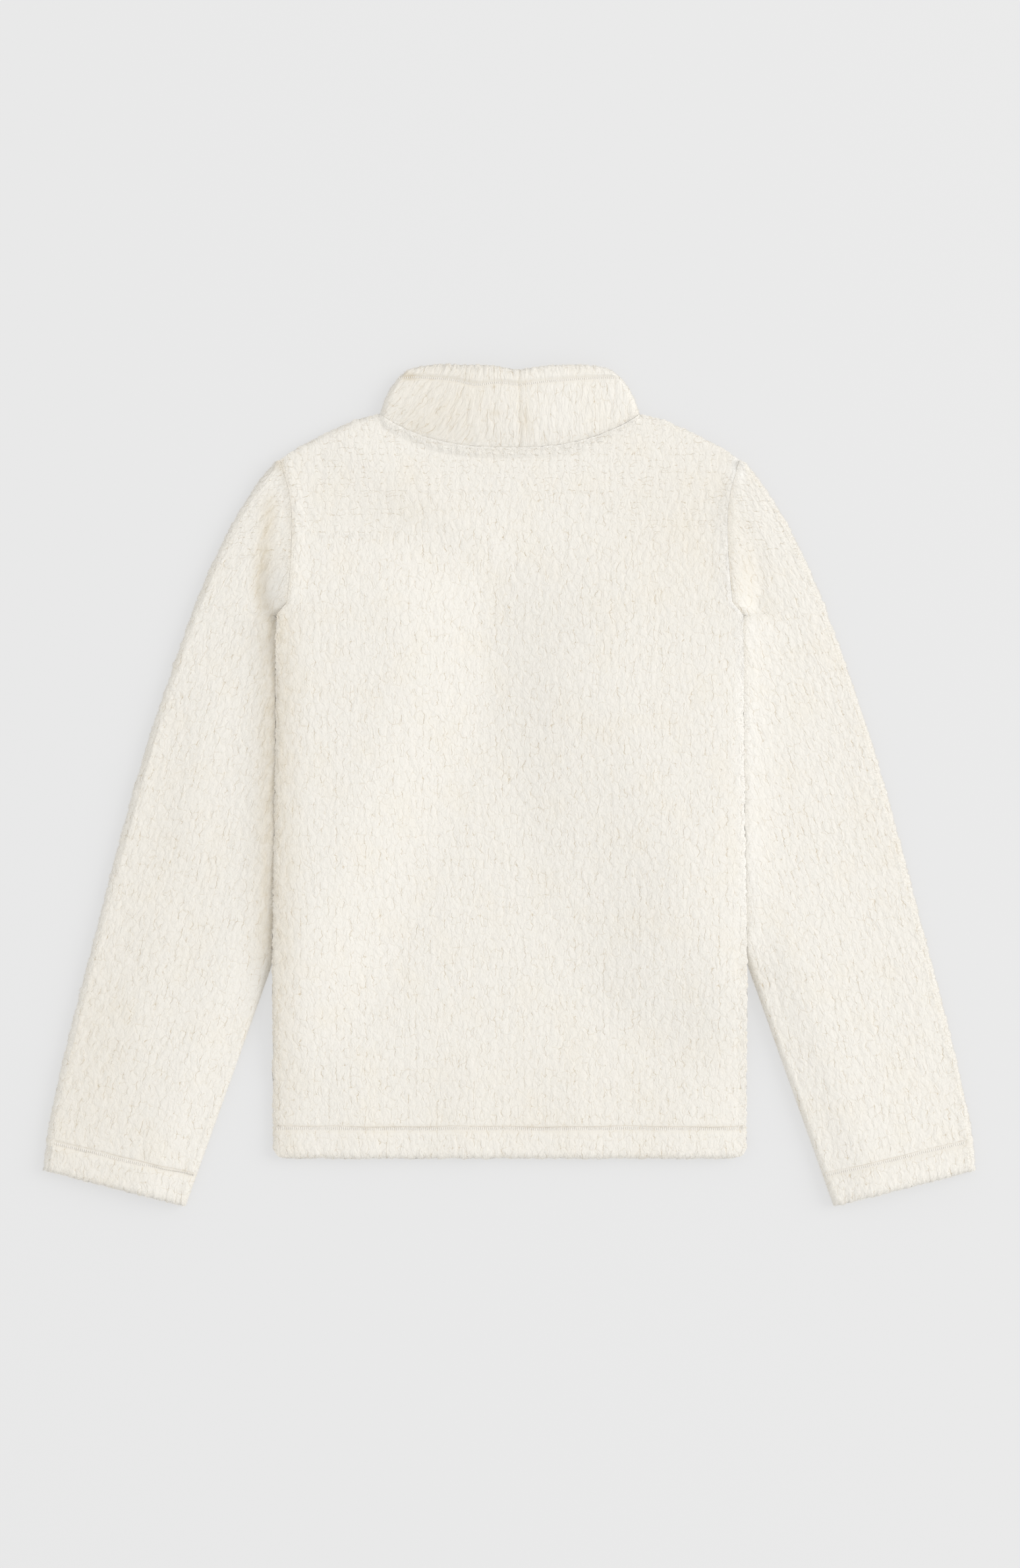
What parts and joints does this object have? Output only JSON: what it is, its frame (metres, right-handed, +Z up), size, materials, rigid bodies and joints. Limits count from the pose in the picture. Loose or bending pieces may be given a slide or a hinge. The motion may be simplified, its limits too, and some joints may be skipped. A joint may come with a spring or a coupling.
{
  "type": "sherpa pile pullover with a stand collar, laid flat",
  "caption": "Long-sleeved pullover of curly pile cloth with a stand collar and turned, stitched hems, laid flat with its back upwards and its sleeves beside the body.",
  "frame": {"origin": "on the surface that the garment lies on, below the middle of its outline seen from above", "axes": "+X across the body to the right as seen from above, +Y from the hem towards the collar, +Z up out of the surface, towards the viewer"},
  "size_m": [0.7768, 0.7006, 0.0227],
  "materials": {
    "back_pile": "curly cream sherpa pile, matt",
    "front_pile": "curly cream sherpa pile, matt",
    "sleeve_left_pile": "curly cream sherpa pile, matt",
    "sleeve_right_pile": "curly cream sherpa pile, matt",
    "collar_pile": "curly cream sherpa pile, matt"
  },
  "bodies": {
    "root": {"back": "back_pile", "front": "front_pile", "sleeve_left": "sleeve_left_pile", "sleeve_right": "sleeve_right_pile", "collar": "collar_pile"}
  },
  "joints": []
}
